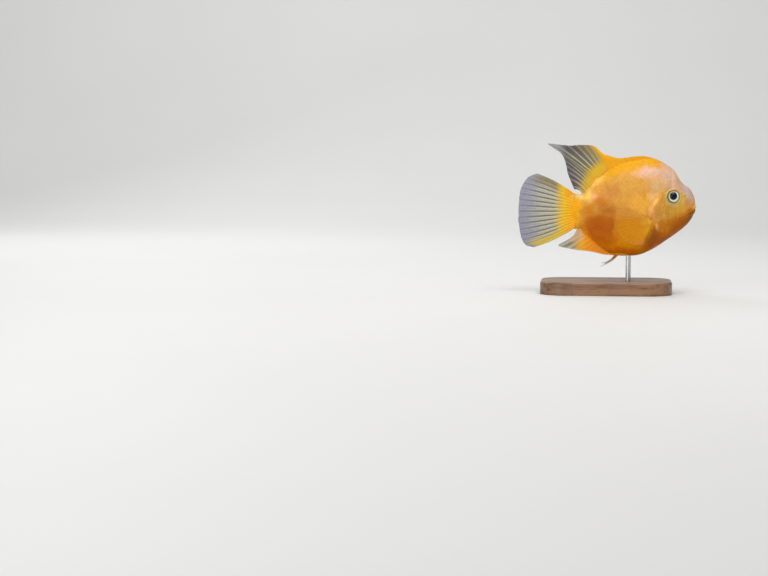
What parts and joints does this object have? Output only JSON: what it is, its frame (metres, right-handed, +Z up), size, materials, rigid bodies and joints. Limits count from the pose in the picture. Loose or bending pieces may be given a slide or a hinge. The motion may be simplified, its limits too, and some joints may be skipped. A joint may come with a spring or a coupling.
{
  "type": "blood parrot cichlid",
  "caption": "Life-size blood parrot cichlid, a deep-bodied orange-yellow aquarium fish with ribbed translucent fins, swimming level on a wooden stand with a steel rod.",
  "frame": {"origin": "middle of the stand's underside, on the surface that it stands on", "axes": "+X from the tail to the snout, +Y to the fish's left side, +Z up"},
  "size_m": [0.1695, 0.08, 0.1426],
  "materials": {
    "skin": "wet scaled skin, amber back, peach flank, deep orange rear belly, soft gloss",
    "fin": "translucent grey membrane with pale rays, yellow at the root",
    "eye": "silvery iris with a grey green rim round a dark pupil, glossy",
    "wood": "walnut, satin oil",
    "steel": "brushed"
  },
  "bodies": {
    "root": {"head": "skin", "trunk": "skin", "tail_stalk": "skin", "gill_cover_left": "skin", "gill_cover_right": "skin", "dorsal_fin": "fin", "anal_fin": "fin", "tail_fin": "fin", "pectoral_fin_left": "fin", "pectoral_fin_right": "fin", "pelvic_fin_left": "fin", "pelvic_fin_right": "fin", "eye_left": "eye", "eye_right": "eye", "stand_base": "wood", "stand_rod": "steel"}
  },
  "joints": []
}
